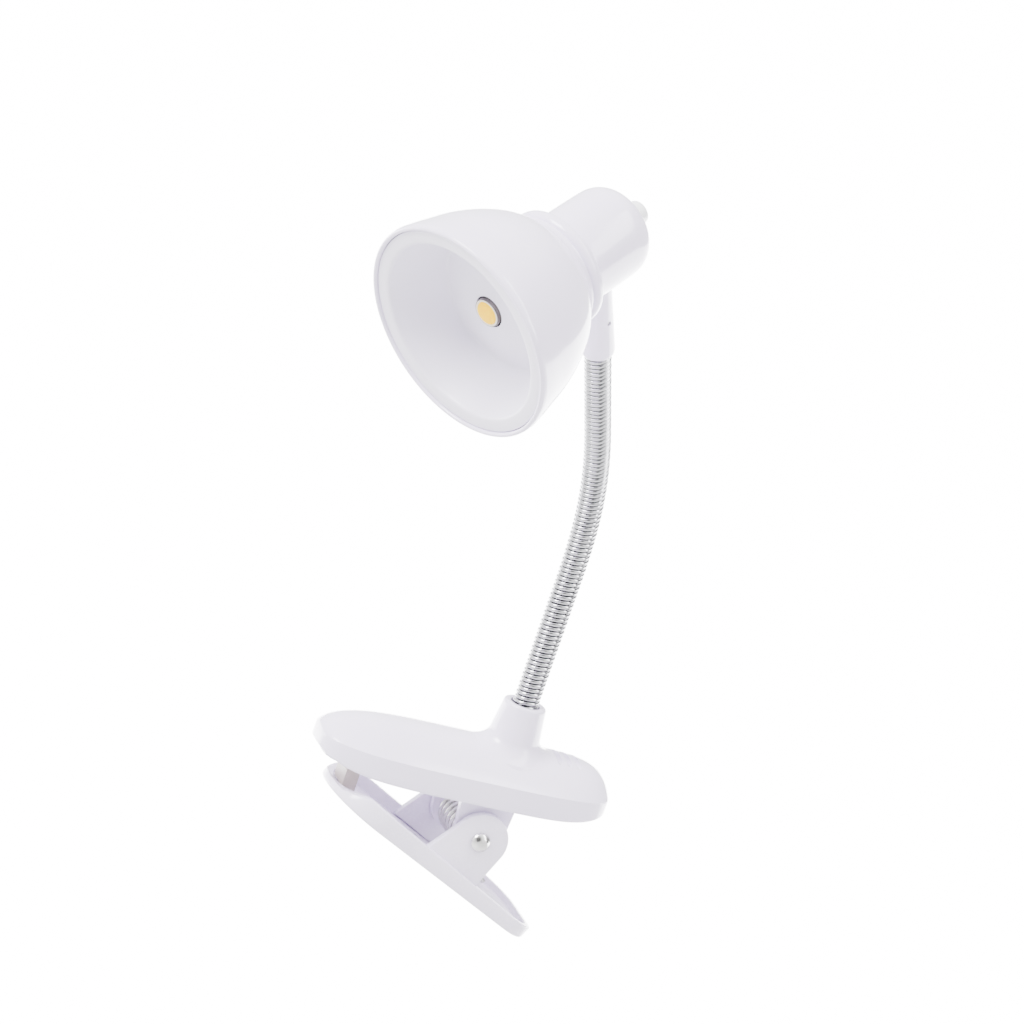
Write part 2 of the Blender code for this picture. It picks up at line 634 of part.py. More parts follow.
def make_power(head, plastic, steel, dark):
    first = 20.2
    for i in range(CELL_COUNT):
        a = first + i * (CELL_LENGTH / MM + 0.1)
        r = CELL_R / MM
        cell = [(0.0, a), (4.6, a), (4.6, a + 0.5), (5.2, a + 0.7), (r, a + 1.0),
                (r, a + 5.1), (r - 0.3, a + 5.4), (0.0, a + 5.4)]
        turned("battery_cell_%d" % (i + 1), behind(cell), steel, head, 20)
    sleeve = [(6.15, 21.4), (7.4, 21.4), (7.4, 37.6), (6.15, 37.6)]
    turned("battery_sleeve", behind(sleeve), plastic, head, 28)
    contact = [(0.0, 36.9), (2.6, 36.9), (2.6, 37.2), (4.6, 37.5), (4.6, 37.8), (0.0, 37.8)]
    turned("rear_contact", behind(contact), steel, head, 20)
    switch = [(0.0, 38.1), (5.6, 38.1), (5.6, 42.1), (1.9, 42.1), (1.9, 38.9), (0.0, 38.9)]
    turned("switch_body", behind(switch), dark, head, 24)


def make_button(head, white, steel):
    start = 43.3
    r = BUTTON_R / MM
    outline = [(0.0, 41.3), (1.5, 41.3), (1.5, start - 0.1), (3.4, start - 0.1), (3.4, start + 0.1),
               (r, start + 0.3), (r, 49.0), (r - 0.3, 49.4), (1.2, 49.6), (0.0, 49.65)]
    turned("push_button", behind(outline), white, head, 28)
    count, turns, coil_r = 40, 4, 1.1 * MM
    points = []
    for i in range(count + 1):
        angle = math.tau * turns * i / count
        a = 39.25 + (41.0 - 39.25) * i / count
        points.append((coil_r * math.cos(angle), coil_r * math.sin(angle), -a * MM))
    wire("button_spring", points, 0.14 * MM, steel, head)


# ---------------------------------------------------------------- assembly
def main():
    clear_scene()
    white = make_material("white_abs", (0.86, 0.85, 0.89), 0.28)
    chrome = make_material("chrome", (0.78, 0.78, 0.80), 0.12, 1.0)
    steel = make_material("steel", (0.60, 0.60, 0.61), 0.25, 1.0)
    plastic = make_material("natural_plastic", (0.80, 0.80, 0.78), 0.45)
    dark = make_material("black_plastic", (0.03, 0.03, 0.03), 0.5)
    board_white = make_material("board_white", (0.85, 0.86, 0.82), 0.4)
    ceramic = make_material("ceramic", (0.80, 0.78, 0.72), 0.35)
    yellow = make_material("phosphor", (0.95, 0.75, 0.10), 0.3)

    make_clip_housing(white)
    make_base_plate(white)
    make_base_screws(steel)
    make_grips(white)
    make_pivot(steel)
    make_jaw_spring(steel)
    make_clip_lever(white)
    make_neck(chrome)
    head = head_matrix()
    make_shade(head, white)
    make_reflector(head, white)
    make_led(head, board_white, ceramic, yellow, plastic, steel, dark)
    make_barrel(head, white)
    make_neck_top(head, chrome, steel)
    make_power(head, plastic, steel, dark)
    make_button(head, white, steel)


main()
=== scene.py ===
import math
import bmesh
import bpy
from mathutils import Matrix, Vector


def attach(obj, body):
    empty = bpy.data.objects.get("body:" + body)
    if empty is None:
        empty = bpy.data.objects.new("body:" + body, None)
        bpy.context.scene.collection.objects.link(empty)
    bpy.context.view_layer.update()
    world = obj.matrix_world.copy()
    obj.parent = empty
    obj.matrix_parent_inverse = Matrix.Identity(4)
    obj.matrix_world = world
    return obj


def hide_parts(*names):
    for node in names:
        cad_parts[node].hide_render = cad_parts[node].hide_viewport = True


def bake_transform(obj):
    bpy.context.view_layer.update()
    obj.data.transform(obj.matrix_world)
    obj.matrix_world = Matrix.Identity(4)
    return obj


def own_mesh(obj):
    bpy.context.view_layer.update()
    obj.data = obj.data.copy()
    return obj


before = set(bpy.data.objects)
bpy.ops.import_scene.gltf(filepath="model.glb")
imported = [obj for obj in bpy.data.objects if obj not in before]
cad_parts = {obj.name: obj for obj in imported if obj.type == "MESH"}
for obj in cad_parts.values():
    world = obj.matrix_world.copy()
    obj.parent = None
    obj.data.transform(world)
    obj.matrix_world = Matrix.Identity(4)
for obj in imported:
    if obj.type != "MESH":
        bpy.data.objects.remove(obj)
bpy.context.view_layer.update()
mm = 0.001
print("frame loaded:", len(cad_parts), "nodes")


# node helpers: a wire is an output socket that can be added, multiplied and so on
class Wire:
    def __init__(self, graph, socket):
        self.graph = graph
        self.socket = socket

    def sum(self, operation, *values):
        return self.graph.add("ShaderNodeMath", {"operation": operation}, dict(enumerate(values)))

    def __add__(self, other):
        return self.sum("ADD", self, other)

    def __sub__(self, other):
        return self.sum("SUBTRACT", self, other)

    def __rsub__(self, other):
        return self.sum("SUBTRACT", other, self)

    def __mul__(self, other):
        return self.sum("MULTIPLY", self, other)

    def __truediv__(self, other):
        return self.sum("DIVIDE", self, other)

    def __rtruediv__(self, other):
        return self.sum("DIVIDE", other, self)

    __radd__ = __add__
    __rmul__ = __mul__


class Graph:
    def __init__(self, tree):
        self.tree = tree

    def add(self, kind, settings=None, sockets=None, output=0):
        node = self.tree.nodes.new(kind)
        for key, value in (settings or {}).items():
            if key == "stops":
                ramp = node.color_ramp.elements
                while len(ramp) < len(value):
                    ramp.new(1.0)
                for stop, (place, shade) in zip(ramp, value):
                    stop.position = place
                    stop.color = (shade, shade, shade, 1.0)
            else:
                setattr(node, key, value)
        for key, value in (sockets or {}).items():
            if isinstance(value, Wire):
                self.tree.links.new(value.socket, node.inputs[key])
            else:
                node.inputs[key].default_value = value
        return Wire(self, node.outputs[output])


# finishes
def newFinish(name, colour, roughness, metallic=0.0, coat=0.0):
    material = bpy.data.materials.new(name)
    material.use_nodes = True
    shader = material.node_tree.nodes["Principled BSDF"]
    shader.inputs["Base Color"].default_value = (*colour, 1.0)
    shader.inputs["Roughness"].default_value = roughness
    shader.inputs["Metallic"].default_value = metallic
    shader.inputs["Coat Weight"].default_value = coat
    return material, Graph(material.node_tree), shader


def join(graph, wire, shader, name):
    graph.tree.links.new(wire.socket, shader.inputs[name])


def speckle(graph, size, detail=3.0, stops=None):
    place = graph.add("ShaderNodeTexCoord", output="Object")
    noise = graph.add("ShaderNodeTexNoise", None,
                      {"Vector": place, "Scale": 1.0 / size, "Detail": detail, "Roughness": 0.55})
    if stops:
        noise = graph.add("ShaderNodeValToRGB", {"stops": stops}, {"Fac": noise})
    return noise


def blendColours(graph, factor, low, high):
    return graph.add("ShaderNodeMix", {"data_type": "RGBA"},
                     {0: factor, 6: (*low, 1.0), 7: (*high, 1.0)}, output=2)


def mouldedPlastic(name, low, high, roughness, grain=0.00045, lift=0.000012, coat=0.0):
    material, graph, shader = newFinish(name, low, roughness, coat=coat)
    cloudy = speckle(graph, 0.014, 2.0, [(0.3, 0.0), (0.7, 1.0)])
    join(graph, blendColours(graph, cloudy, low, high), shader, "Base Color")
    fine = speckle(graph, grain, 2.0)
    smear = speckle(graph, 0.006, 3.0)
    join(graph, roughness - 0.05 + fine * 0.04 + smear * 0.06, shader, "Roughness")
    ripple = graph.add("ShaderNodeBump", None, {"Strength": 0.35, "Distance": lift, "Height": fine})
    join(graph, ripple, shader, "Normal")
    return material


def brightMetal(name, low, high, roughness, grain=0.0006, lift=0.000008):
    material, graph, shader = newFinish(name, low, roughness, metallic=1.0)
    cloudy = speckle(graph, 0.003, 3.0, [(0.3, 0.0), (0.7, 1.0)])
    join(graph, blendColours(graph, cloudy, low, high), shader, "Base Color")
    fine = speckle(graph, grain, 3.0)
    join(graph, roughness - 0.04 + fine * 0.08, shader, "Roughness")
    ripple = graph.add("ShaderNodeBump", None, {"Strength": 0.4, "Distance": lift, "Height": fine})
    join(graph, ripple, shader, "Normal")
    return material


def phosphorPaintedGlow():
    material, graph, shader = newFinish("phosphorPaintedGlow", (0.98, 0.58, 0.0), 0.3)
    grains = speckle(graph, 0.00035, 3.0, [(0.35, 0.0), (0.65, 1.0)])
    join(graph, blendColours(graph, grains, (0.95, 0.50, 0.0), (1.0, 0.60, 0.0)), shader, "Base Color")
    shader.inputs["Specular IOR Level"].default_value = 0.05
    # painted light: the phosphor glows faintly in its finish, though the lamp is not lit
    shader.inputs["Emission Color"].default_value = (1.0, 0.72, 0.0, 1.0)
    shader.inputs["Emission Strength"].default_value = 0.6
    ripple = graph.add("ShaderNodeBump", None, {"Strength": 0.3, "Distance": 0.00002, "Height": grains})
    join(graph, ripple, shader, "Normal")
    return material


housingWhite = mouldedPlastic("housingWhite", (0.84, 0.77, 0.96), (0.87, 0.80, 0.98), 0.22, coat=0.4)
leverWhite = mouldedPlastic("leverWhite", (0.84, 0.78, 0.93), (0.87, 0.81, 0.96), 0.27, coat=0.3)
shadeWhite = mouldedPlastic("shadeWhite", (0.84, 0.77, 0.96), (0.87, 0.80, 0.98), 0.18, coat=0.4)
reflectorWhite = mouldedPlastic("reflectorWhite", (0.82, 0.78, 0.90), (0.85, 0.81, 0.93), 0.34, coat=0.1)
buttonWhite = mouldedPlastic("buttonWhite", (0.86, 0.86, 0.87), (0.90, 0.90, 0.91), 0.22, coat=0.3)
# the grips get a darker warm brown: painted shade for the inside of the jaw
gripPaintedShade = mouldedPlastic("gripPaintedShade", (0.40, 0.34, 0.31), (0.48, 0.42, 0.39), 0.42)
hoseChrome = brightMetal("hoseChrome", (0.44, 0.44, 0.46), (0.56, 0.56, 0.58), 0.12)
# the hose core stands for its inner spring; its near-black colour is painted shade between the wire turns
hoseCore = brightMetal("hoseCore", (0.03, 0.03, 0.035), (0.05, 0.05, 0.055), 0.4)
rivetSteel = brightMetal("rivetSteel", (0.60, 0.59, 0.58), (0.72, 0.71, 0.70), 0.20)
springSteel = brightMetal("springSteel", (0.50, 0.49, 0.48), (0.62, 0.61, 0.60), 0.26)
cellSteel = brightMetal("cellSteel", (0.66, 0.66, 0.67), (0.74, 0.74, 0.75), 0.28)
# near-black metal for the collar round the LED: painted shade for the gap round the package
collarPaintedShade = brightMetal("collarPaintedShade", (0.10, 0.09, 0.09), (0.20, 0.18, 0.17), 0.30)
packagePale = mouldedPlastic("packagePale", (0.78, 0.74, 0.62), (0.84, 0.80, 0.70), 0.35)
boardWhite = mouldedPlastic("boardWhite", (0.78, 0.79, 0.74), (0.84, 0.85, 0.81), 0.40)
naturalPlastic = mouldedPlastic("naturalPlastic", (0.72, 0.72, 0.70), (0.78, 0.78, 0.76), 0.45)
switchBlack = mouldedPlastic("switchBlack", (0.02, 0.02, 0.022), (0.04, 0.04, 0.042), 0.5)
phosphor = phosphorPaintedGlow()
print("finishes made")


# where things are
clip = {"length": 62.0, "width": 24.0, "wall": 1.6, "ridge": 5.2, "crown": 10.6, "rimLift": 2.4,
        "tailPower": 4.0, "nosePower": 2.9, "tailFall": 9.0, "noseFall": 4.4, "bossX": 26.0, "midX": 17.0,
        "bossTop": 19.4}
neck = {"first": 3.4, "step": 6.75, "joints": 12, "bend": 33.7, "bendFrom": 24.0, "bendTo": 64.5,
        "lean": (-0.751, -0.66, 0.0)}
head = {"aim": (-0.708, -0.444, -0.55), "stemReach": 27.5, "stemBehind": 37.8}
pivot = {"place": (22.2, 0.0, -7.6), "pitch": 26.0}

leanWay = Vector(neck["lean"]).normalized()
bendAxis = Vector((0, 0, 1)).cross(leanWay).normalized()


def leanAt(s):
    t = min(max((s - neck["bendFrom"]) / (neck["bendTo"] - neck["bendFrom"]), 0.0), 1.0)
    return math.radians(neck["bend"]) * t * t * (3.0 - 2.0 * t)


def neckJoints():
    point = Vector((clip["bossX"], 0.0, clip["bossTop"] + neck["first"])) * mm
    found = []
    for k in range(neck["joints"]):
        lean = leanAt(neck["first"] + (k + 0.5) * neck["step"])
        way = Vector((0, 0, 1)) * math.cos(lean) + leanWay * math.sin(lean)
        found.append((point.copy(), way))
        point = point + way * neck["step"] * mm
    return found


def headPlace():
    point, way = neckJoints()[-1]
    stemEnd = point + way * neck["first"] * mm
    aim = Vector(head["aim"])
    aim = (aim - way * aim.dot(way)).normalized()
    down = -way
    origin = stemEnd - down * head["stemReach"] * mm + aim * head["stemBehind"] * mm
    return Matrix.Translation(origin) @ Matrix((down, aim.cross(down), aim)).transposed().to_4x4()


headFrame = headPlace()
pivotPlace = Matrix.Translation(Vector(pivot["place"]) * mm)
leverPlace = pivotPlace @ Matrix.Rotation(math.radians(pivot["pitch"]), 4, "Y")


# mesh helpers, all in millimetres until the last step
def toObject(name, bm, material, place=None, crease=32.0):
    bmesh.ops.remove_doubles(bm, verts=bm.verts, dist=1e-4)
    bmesh.ops.recalc_face_normals(bm, faces=bm.faces)
    matrix = (place or Matrix.Identity(4)) @ Matrix.Scale(mm, 4)
    bmesh.ops.transform(bm, matrix=matrix, verts=bm.verts)
    mesh = bpy.data.meshes.new(name)
    bm.to_mesh(mesh)
    bm.free()
    mesh.materials.append(material)
    mesh.shade_smooth()
    mesh.set_sharp_from_angle(angle=math.radians(crease))
    obj = bpy.data.objects.new(name, mesh)
    bpy.context.collection.objects.link(obj)
    return obj


def flowing(run, per=5):
    # smooth line through the points of one run
    if len(run) < 3:
        return list(run)
    points = [Vector(p) for p in run]
    ends = [points[0] * 2 - points[1]] + points + [points[-1] * 2 - points[-2]]
    line = []
    for a, b, c, d in zip(ends, ends[1:], ends[2:], ends[3:]):
        for i in range(per):
            t = i / per
            line.append(0.5 * (2 * b + (c - a) * t + (2 * a - 5 * b + 4 * c - d) * t * t
                               + (3 * b - a - 3 * c + d) * t ** 3))
    return [tuple(p) for p in line] + [tuple(points[-1])]


def profile(*runs, per=5):
    line = []
    for run in runs:
        for p in flowing(run, per):
            if not line or (Vector(p) - Vector(line[-1])).length > 1e-4:
                line.append((max(p[0], 0.0), p[1]))
    return line


def spinInto(bm, line, steps, flip=1.0):
    # revolve (radius, z) points; points on the axis become poles
    rings = []
    for r, z in line:
        if r < 1e-5:
            rings.append([bm.verts.new((0.0, 0.0, z * flip))])
        else:
            turns = [math.tau * i / steps for i in range(steps)]
            rings.append([bm.verts.new((r * math.cos(t), r * math.sin(t), z * flip)) for t in turns])
    closed = line[0][0] > 1e-5 or line[-1][0] > 1e-5
    pairs = list(zip(rings, rings[1:])) + ([(rings[-1], rings[0])] if closed else [])
    for low, high in pairs:
        for i in range(steps):
            j = (i + 1) % steps
            corners = [low[i % len(low)], low[j % len(low)], high[j % len(high)], high[i % len(high)]]
            unique = list(dict.fromkeys(corners))
            if len(unique) > 2:
                bm.faces.new(unique)


def ringInto(bm, rings, capFirst=False, capLast=False):
    built = [[bm.verts.new(p) for p in ring] for ring in rings]
    for low, high in zip(built, built[1:]):
        for i in range(len(low)):
            j = (i + 1) % len(low)
            bm.faces.new((low[i], low[j], high[j], high[i]))
    if capFirst:
        bm.faces.new(built[0][::-1])
    if capLast:
        bm.faces.new(built[-1])
    return built


def turned(name, line, material, place, steps=96, flip=-1.0):
    bm = bmesh.new()
    spinInto(bm, line, steps, flip)
    return toObject(name, bm, material, place)


# clip housing: boat-shaped shell with a boss and three thumb grooves
shell = {"segments": 144, "bossTopR": 4.45, "bossFootR": 5.2, "fillet": 3.4, "bossBore": 3.0,
         "rootR": 8.0, "rootZ": 8.6,
         "grooves": (35.9, 38.0, 40.1), "grooveR": 0.7, "grooveDrop": 0.2, "grooveHalf": 5.0}


def outlinePower(side):
    return clip["tailPower"] if side > 0.0 else clip["nosePower"]


def outlinePoint(angle, inset=0.0):
    c, s = math.cos(angle), math.sin(angle)
    power = 2.0 / outlinePower(c)
    return (clip["midX"] + (clip["length"] / 2 - inset) * math.copysign(abs(c) ** power, c),
            (clip["width"] / 2 - inset) * math.copysign(abs(s) ** power, s))


def crownRise(x, y, inset=0.0):
    u = min(abs(x - clip["midX"]) / (clip["length"] / 2 - inset), 1.0)
    power = outlinePower(x - clip["midX"])
    width = (clip["width"] / 2 - inset) * max(1.0 - u ** power, 0.0) ** (1.0 / power)
    v = min(abs(y) / width, 1.0) if width > 0.0 else 1.0
    end = clip["tailFall"] if x > clip["midX"] else clip["noseFall"]
    return (clip["crown"] - clip["ridge"]) * math.sqrt(max(1.0 - u ** end, 0.0)) * (1.0 - v ** 2)


def shellRings(inset):
    top = clip["ridge"] - inset
    rings = []
    walls = ((0.0, 0.7), (0.03, 0.25), (0.08, 0.05), (0.14, 0.0), (0.5, 0.0), (0.8, 0.0), (0.93, 0.0))
    for level, tuck in walls:
        ring = []
        for i in range(shell["segments"]):
            x, y = outlinePoint(math.tau * i / shell["segments"], inset + (tuck if inset == 0.0 else 0.0))
            u = min(abs(x - clip["midX"]) / (clip["length"] / 2), 1.0)
            rim = clip["rimLift"] * u ** 6
            ring.append((x, y, rim + (top - rim) * level))
        rings.append(ring)
    for scale in (0.998, 0.992, 0.984, 0.97, 0.95, 0.925, 0.89, 0.84, 0.77, 0.68, 0.57, 0.44, 0.3, 0.15, 0.04):
        ring = []
        for i in range(shell["segments"]):
            x, y = outlinePoint(math.tau * i / shell["segments"], inset)
            x = clip["midX"] + (x - clip["midX"]) * scale
            y *= scale
            ring.append((x, y, top + crownRise(x, y, inset)))
        rings.append(ring)
    return rings


def bossInto(bm):
    # the foot follows the crown, so the fillet runs out into it without a step
    steps = 96
    foot, top = shell["bossFootR"], clip["bossTop"]
    rings = []
    for r, lift in ((foot + shell["fillet"] + 0.5, -0.6), (foot + shell["fillet"], -0.05)):
        rings.append((r, lift, None))
    count = 12
    for i in range(1, count + 1):
        t = i / count
        angle = t * math.pi / 2 * 0.93
        r = foot + shell["fillet"] * (1.0 - math.sin(angle))
        rings.append((r, shell["fillet"] * 0.82 * (1.0 - math.cos(angle)) - 0.01, None))
    baseR = rings[-1][0]
    for z, r in ((14.5, None), (17.0, None), (top - 0.55, None)):
        t = (z - 13.0) / (top - 0.55 - 13.0)
        rings.append((baseR + (shell["bossTopR"] - baseR) * t, None, z))
    rings += [(shell["bossTopR"] - 0.06, None, top - 0.28), (shell["bossTopR"] - 0.22, None, top - 0.08),
              (shell["bossTopR"] - 0.42, None, top), (shell["bossBore"] + 0.22, None, top),
              (shell["bossBore"] + 0.05, None, top - 0.12), (shell["bossBore"], None, top - 0.4),
              (shell["bossBore"], None, 9.0)]
    points = []
    for r, lift, z in rings:
        ring = []
        for i in range(steps):
            angle = math.tau * i / steps
            x, y = clip["bossX"] + r * math.cos(angle), r * math.sin(angle)
            height = z if z is not None else clip["ridge"] + crownRise(x, y) + lift
            ring.append((x, y, height))
        points.append(ring)
    turns = [math.tau * i / steps for i in range(steps)]
    points.append([(clip["bossX"] + shell["rootR"] * math.cos(t), shell["rootR"] * math.sin(t), shell["rootZ"])
                   for t in turns])
    built = ringInto(bm, points)
    for i in range(steps):
        j = (i + 1) % steps
        bm.faces.new((built[-1][i], built[-1][j], built[0][j], built[0][i]))


def grooveCutters():
    # a capsule at each groove, set along the crown by geometry nodes
    tree = bpy.data.node_groups.new("thumbGrooves", "GeometryNodeTree")
    tree.interface.new_socket(name="Geometry", in_out="OUTPUT", socket_type="NodeSocketGeometry")
    for name, kind in (("Geometry", "NodeSocketGeometry"), ("Groove radius", "NodeSocketFloat"),
                       ("Groove length", "NodeSocketFloat")):
        tree.interface.new_socket(name=name, in_out="INPUT", socket_type=kind)
    graph = Graph(tree)
    given = tree.nodes.new("NodeGroupInput")
    radius, length = Wire(graph, given.outputs["Groove radius"]), Wire(graph, given.outputs["Groove length"])
    ball = graph.add("GeometryNodeMeshUVSphere", None, {"Segments": 24, "Rings": 16, "Radius": radius})
    side = graph.add("ShaderNodeSeparateXYZ", None, {0: graph.add("GeometryNodeInputPosition")}, output="Y")
    sign = side.sum("SIGN", side)
    shift = graph.add("ShaderNodeCombineXYZ", None, {"Y": sign * (length / 2.0)})
    capsule = graph.add("GeometryNodeSetPosition", None, {"Geometry": ball, "Offset": shift})
    placed = graph.add("GeometryNodeInstanceOnPoints", None,
                       {"Points": Wire(graph, given.outputs["Geometry"]), "Instance": capsule})
    solid = graph.add("GeometryNodeRealizeInstances", None, {"Geometry": placed})
    end = tree.nodes.new("NodeGroupOutput")
    tree.links.new(solid.socket, end.inputs[0])

    mesh = bpy.data.meshes.new("groovePoints")
    mesh.from_pydata([(x * mm, 0.0, (clip["ridge"] + crownRise(x, 0.0) - shell["grooveDrop"]) * mm)
                      for x in shell["grooves"]], [], [])
    obj = bpy.data.objects.new("groovePoints", mesh)
    bpy.context.collection.objects.link(obj)
    return meshFrom(obj, tree, {"Groove radius": shell["grooveR"] * mm,
                                "Groove length": (shell["grooveHalf"] - shell["grooveR"]) * 2 * mm}, "grooveCutters")


def meshFrom(obj, tree, values, name):
    # run the node tree on an object and keep the result as a plain mesh object
    modifier = obj.modifiers.new(tree.name, "NODES")
    modifier.node_group = tree
    for item in tree.interface.items_tree:
        if item.in_out == "INPUT" and item.name in values:
            modifier[item.identifier] = values[item.name]
    seen = obj.evaluated_get(bpy.context.evaluated_depsgraph_get())
    mesh = bpy.data.meshes.new_from_object(seen)
    mesh.name = name
    bpy.data.objects.remove(obj, do_unlink=True)
    made = bpy.data.objects.new(name, mesh)
    bpy.context.collection.objects.link(made)
    return made


def cutAway(obj, cutter):
    modifier = obj.modifiers.new("cut", "BOOLEAN")
    modifier.operation = "DIFFERENCE"
    modifier.solver = "EXACT"
    modifier.use_self = True
    modifier.object = cutter
    seen = obj.evaluated_get(bpy.context.evaluated_depsgraph_get())
    mesh = bpy.data.meshes.new_from_object(seen)
    obj.modifiers.clear()
    obj.data = mesh
    mesh.shade_smooth()
    mesh.set_sharp_from_angle(angle=math.radians(32))
    bpy.data.objects.remove(cutter, do_unlink=True)


def makeHousing():
    bm = bmesh.new()
    outer = ringInto(bm, shellRings(0.0), capLast=True)
    inner = ringInto(bm, shellRings(clip["wall"]), capLast=True)
    count = shell["segments"]
    for i in range(count):
        j = (i + 1) % count
        bm.faces.new((outer[0][j], outer[0][i], inner[0][i], inner[0][j]))
    housing = toObject("housingShell", bm, housingWhite, crease=40)
    cutAway(housing, grooveCutters())
    bm = bmesh.new()
    bossInto(bm)
    boss = toObject("neckBoss", bm, housingWhite, crease=40)
    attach(housing, "clip_top")
    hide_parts("clip_housing")
    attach(boss, "clip_top")
    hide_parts("clip_housing")


makeHousing()
print("housing made")


# clip lever: channel plate with a rounded thumb end and two ears
lever = {"tip": -29.5, "end": 24.0, "width": 23.6, "wall": 1.5, "top": -7.3, "floor": -8.7, "under": -10.2,
         "deeper": 1.7, "tipR": 11.3, "endR": 7.5, "fade": 4.5, "earHalf": 6.1, "earR": 5.9, "earFlare": 2.0,
         "earIn": 9.2, "earThick": 1.6}


def leverOutline(inset, steps=18):
    half = lever["width"] / 2 - inset
    tipR, endR = lever["tipR"] - inset, lever["endR"] - inset
    endU, tipU = lever["end"] - inset - endR, lever["tip"] + inset + tipR
    corners = ((endU, half - endR, endR, 0), (tipU, half - tipR, tipR, 90),
               (tipU, -half + tipR, tipR, 180), (endU, -half + endR, endR, 270))
    points = []
    for u, y, r, start in corners:
        for i in range(steps + 1):
            angle = math.radians(start + 90.0 * i / steps)
            points.append((u + r * math.cos(angle), y + r * math.sin(angle)))
    return points


def leverDrop(u):
    return lever["deeper"] * (lever["end"] - u) / (lever["end"] - lever["tip"])


def flangeTop(u, drop=0.0):
    along = min(max((u - lever["tip"] - lever["wall"]) / lever["fade"], 0.0), 1.0)
    low = lever["floor"] - leverDrop(u) + 0.2
    return low + (lever["top"] - drop - low) * along


def earOutline(half, root, radius, flare, steps=36):
    points = [(half, root), (-half - flare, root)]
    for i in range(steps + 1):
        angle = math.pi * i / steps
        points.append((-radius * math.cos(angle), radius * math.sin(angle)))
    return points


def earInto(bm, outline, yLow, yHigh, soft=0.25):
    # flat ear with softened edges
    centre = Vector((sum(p[0] for p in outline) / len(outline), sum(p[1] for p in outline) / len(outline)))
    rings = []
    for y, inset in ((yLow, soft), (yLow + soft * 0.3, soft * 0.3), (yLow + soft, 0.0),
                     (yHigh - soft, 0.0), (yHigh - soft * 0.3, soft * 0.3), (yHigh, soft)):
        ring = []
        for p in outline:
            way = centre - Vector(p)
            spot = Vector(p) + way.normalized() * inset
            ring.append((spot.x, y, spot.y))
        rings.append(ring)
    ringInto(bm, rings, capFirst=True, capLast=True)


def makeLever():
    bm = bmesh.new()
    under, floor = lever["under"], lever["floor"]
    rings = []
    for inset, w in ((0.9, 0.0), (0.5, 0.06), (0.2, 0.25), (0.05, 0.5), (0.0, 0.8)):
        rings.append([(u, y, under - leverDrop(u) + w) for u, y in leverOutline(inset)])
    for inset, drop in ((0.0, 0.25), (0.08, 0.08), (0.25, 0.0), (lever["wall"] - 0.2, 0.0), (lever["wall"], 0.2)):
        rings.append([(u, y, flangeTop(u, drop)) for u, y in leverOutline(inset)])
    rings.append([(u, y, floor - leverDrop(u) + 0.15) for u, y in leverOutline(lever["wall"])])
    rings.append([(u, y, floor - leverDrop(u)) for u, y in leverOutline(lever["wall"] + 0.2)])
    ringInto(bm, rings, capFirst=True, capLast=True)
    plate = toObject("leverPlate", bm, leverWhite, leverPlace, crease=40)
    bm = bmesh.new()
    outline = earOutline(lever["earHalf"], under + 0.9, lever["earR"], lever["earFlare"])
    for side in (-1, 1):
        y = sorted((side * lever["earIn"], side * (lever["earIn"] + lever["earThick"])))
        earInto(bm, outline, *y)
    ears = toObject("leverEars", bm, leverWhite, leverPlace, crease=40)
    for piece in (plate, ears):
        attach(piece, "clip_lever")
        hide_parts("clip_lever")


makeLever()


# pivot rivet; the washer stays as the frame has it
rivet = {"reach": 10.8, "gap": 0.3, "pinR": 1.5, "headR": 2.05, "rise": 1.05}


def makeRivet():
    turn = Matrix.Rotation(math.radians(-90), 4, "X")
    y = -rivet["reach"] - rivet["gap"]
    line = profile([(0.0, y - rivet["rise"]), (0.55, y - rivet["rise"] + 0.03), (1.05, y - rivet["rise"] + 0.14),
                    (1.5, y - 0.62), (1.85, y - 0.3), (rivet["headR"], y)],
                   [(rivet["pinR"], y), (rivet["pinR"], rivet["reach"] + 1.5)],
                   [(1.35, rivet["reach"] + 1.7), (1.2, rivet["reach"] + 1.8)], [(0.0, rivet["reach"] + 1.8)])
    pin = turned("pivotRivet", line, rivetSteel, pivotPlace @ turn, 64, flip=1.0)
    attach(pin, "clip_top")
    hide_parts("pivot_pin")


makeRivet()


